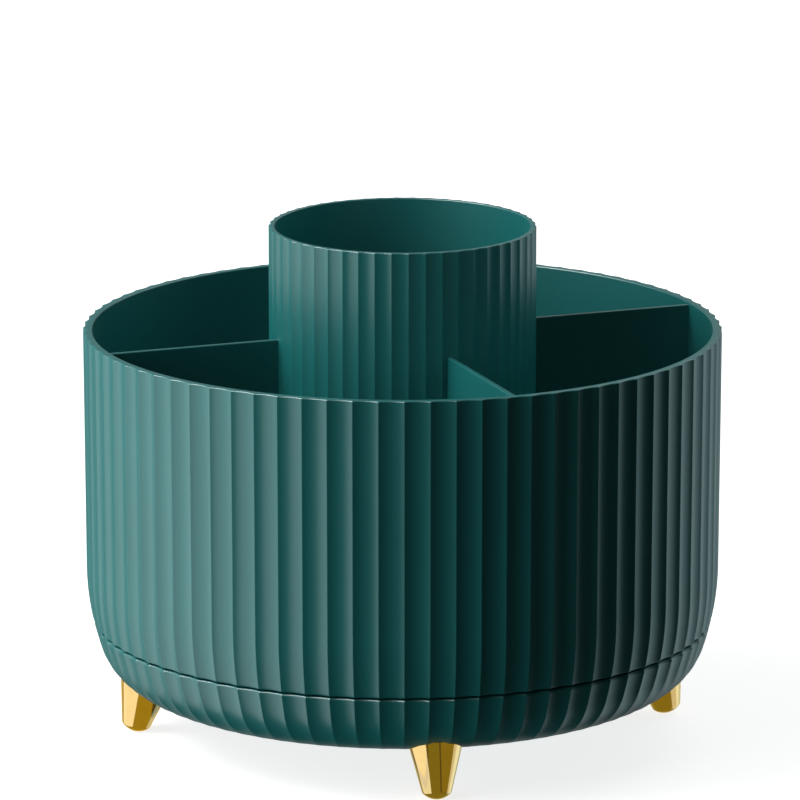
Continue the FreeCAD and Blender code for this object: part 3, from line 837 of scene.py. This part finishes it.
camera_data = bpy.data.cameras.new("photo_camera")
camera_data.lens = LENS
camera_data.sensor_width = SENSOR
camera_data.clip_end = FARTHEST
camera = bpy.data.objects.new("photo_camera", camera_data)
camera.location = CAMERA_PLACE
camera.rotation_euler = (QUARTER_TURN - CAMERA_PITCH, 0, -CAMERA_HEADING)
scene.collection.objects.link(camera)
scene.camera = camera
print("camera", round(CAMERA_PLACE.length, 3), "m from the origin")

# %% [markdown]
# Floor
#
# The organizer stands on a pale sheet that takes a faint shadow. The sheet plays no part in
# reflections or shadows on the object, as if the object stood on clear glass over it, so the bowl's
# underside and the feet mirror the lights alone. It glows a little more with distance, and fades to
# white before any horizon shows.

# %% Pale sheet
FLOOR_RADIUS = 6.0
FLOOR_FADE = (0.3, 1.2)
FLOOR_GLOW = (0.8, 1.0)


def white_sheet():
    """Matt paper that grows whiter away from the object."""
    material, tree, place = start_material("matt_white_sheet")
    distance = add(tree, "ShaderNodeVectorMath", {0: place}, operation="LENGTH")
    glow = add(tree, "ShaderNodeMapRange", {
        "Value": distance.outputs["Value"], "From Min": FLOOR_FADE[0], "From Max": FLOOR_FADE[1],
        "To Min": FLOOR_GLOW[0], "To Max": FLOOR_GLOW[1],
    })
    end_material(tree, {
        "Base Color": linear("#BCBCBA"), "Roughness": 0.9,
        "Emission Color": WHITE, "Emission Strength": glow.outputs["Result"],
    })
    return material


def studio_floor(material):
    """A wide sheet that catches the object's shadow."""
    bm = bmesh.new()
    bmesh.ops.create_circle(bm, cap_ends=True, segments=ROUND_STEPS, radius=FLOOR_RADIUS)
    mesh = bpy.data.meshes.new("floor")
    bm.to_mesh(mesh)
    bm.free()
    mesh.materials.append(material)
    floor = bpy.data.objects.new("floor", mesh)
    scene.collection.objects.link(floor)
    floor.visible_glossy = False
    floor.visible_diffuse = False
    floor.visible_shadow = False


studio_floor(white_sheet())
print("floor reaches", FLOOR_RADIUS, "m from the object")

# %% [markdown]
# Light
#
# Satin plastic shows its shape only through what it reflects, so each light is placed by what the
# surface should mirror. A tall bright wall on the left, a narrow dim one far round on the right and
# a faint one behind draw the long fade across the flutes, and all three reach below the floor. Two
# high softboxes and one overhead light the inside, and a strip that only shows in reflections draws
# the thin lines on rim and lip. The polished feet mirror what is close by, so small cards are linked
# to them alone, and one soft fill is linked to the cup. Places are in metres, and a light's
# radiance is given instead of its watts, so that its size can change and its brightness stay.

# %% Softbox
WALL_DISTANCE = 1.0
WALL_HEIGHT = 2.4
STRAIGHT_UP = 9.0
camera_bearing = math.atan2(CAMERA_PLACE.y, CAMERA_PLACE.x)


def softbox(name, bearing, size, radiance, distance=WALL_DISTANCE, level=0.0, aim=0.0,
            tint="#FFFFFF"):
    """A light aimed at a height on the axis, its bearing in degrees to the right of the camera."""
    turn = camera_bearing + math.radians(bearing)
    data = bpy.data.lights.new(name, "AREA")
    data.shape = "RECTANGLE"
    data.size, data.size_y = size
    data.energy = radiance * math.pi * data.size * data.size_y
    data.color = linear(tint)[:3]
    lamp = bpy.data.objects.new(name, data)
    lamp.location = (distance * math.cos(turn), distance * math.sin(turn), level)
    way = Vector((0, 0, aim)) - lamp.location
    lamp.rotation_euler = way.to_track_quat("-Z", "Y").to_euler()
    lamp.visible_camera = False
    scene.collection.objects.link(lamp)
    print(name, "gives", round(data.energy, 2), "watts")
    return lamp


def light_only(name, pieces, lamps):
    """Links lamps to a few pieces, so that they light these alone."""
    lit = bpy.data.collections.new(name)
    for piece in pieces:
        lit.objects.link(piece)
    for lamp in lamps:
        lamp.light_linking.receiver_collection = lit


print("the camera bears", round(math.degrees(camera_bearing), 1), "degrees from the X axis")

# %% Lights of the studio
softbox("wall_left", -80, (1.8, WALL_HEIGHT), 1.65)
softbox("wall_right", 122, (0.85, WALL_HEIGHT), 0.74, tint="#D4F7FD")
softbox("wall_back", 180, (2.2, WALL_HEIGHT), 0.25)
softbox("high_left", -85, (0.8, 0.6), 7.0, distance=0.9, level=0.95, aim=0.1)
softbox("high_back", 150, (0.7, 0.6), 2.0, distance=0.9, level=0.95, aim=0.1)
softbox("overhead", 180, (1.0, 1.0), 0.5, distance=0.01, level=1.3, aim=0.1)
edge_strip = softbox("edge_strip", -60, (1.4, 0.4), 26.0, distance=0.9, level=1.15, aim=0.1)
edge_strip.visible_diffuse = False

# %% Cards for the feet and a fill for the cup
light_only("lit_feet", feet, [
    softbox("gold_card_middle", 0, (0.09, 0.5), 0.35, distance=0.13, level=-0.02,
            aim=STRAIGHT_UP, tint="#F8E430"),
    softbox("gold_card_left", -90, (0.6, 0.28), 0.66, distance=0.2, level=-0.02,
            aim=STRAIGHT_UP, tint="#FFD51C"),
    softbox("gold_card_right", 90, (0.6, 0.28), 0.4, distance=0.2, level=-0.02,
            aim=STRAIGHT_UP, tint="#FFE028"),
    softbox("gold_card_below", 0, (0.8, 0.8), 0.15, distance=0.001, level=-0.03,
            aim=STRAIGHT_UP, tint="#FFCC40"),
    softbox("white_card", 95, (0.3, 0.3), 1.0, distance=0.34, level=-0.12, aim=0.02),
])
light_only("lit_cup", [cup], [
    softbox("cup_fill", 40, (0.9, 0.9), 0.55, distance=0.9, level=0.6, aim=0.15),
])

# %% [markdown]
# Backdrop
#
# The camera sees white behind the object, while the object itself gets almost nothing from there,
# or the dark side of the flutes would turn grey. A light path tells the two apart.

# %% White to the camera, dim to the object
AMBIENT = 0.025

world = bpy.data.worlds.new("white_backdrop")
world.use_nodes = True
backdrop = world.node_tree.nodes["Background"]
seen = add(world.node_tree, "ShaderNodeLightPath").outputs["Is Camera Ray"]
strength = add(world.node_tree, "ShaderNodeMapRange", {
    "Value": seen, "To Min": AMBIENT, "To Max": 1.0,
})
world.node_tree.links.new(strength.outputs["Result"], backdrop.inputs["Strength"])
backdrop.inputs["Color"].default_value = WHITE
scene.world = world
scene.view_settings.view_transform = "Standard"
print("the backdrop lights the object at", AMBIENT)
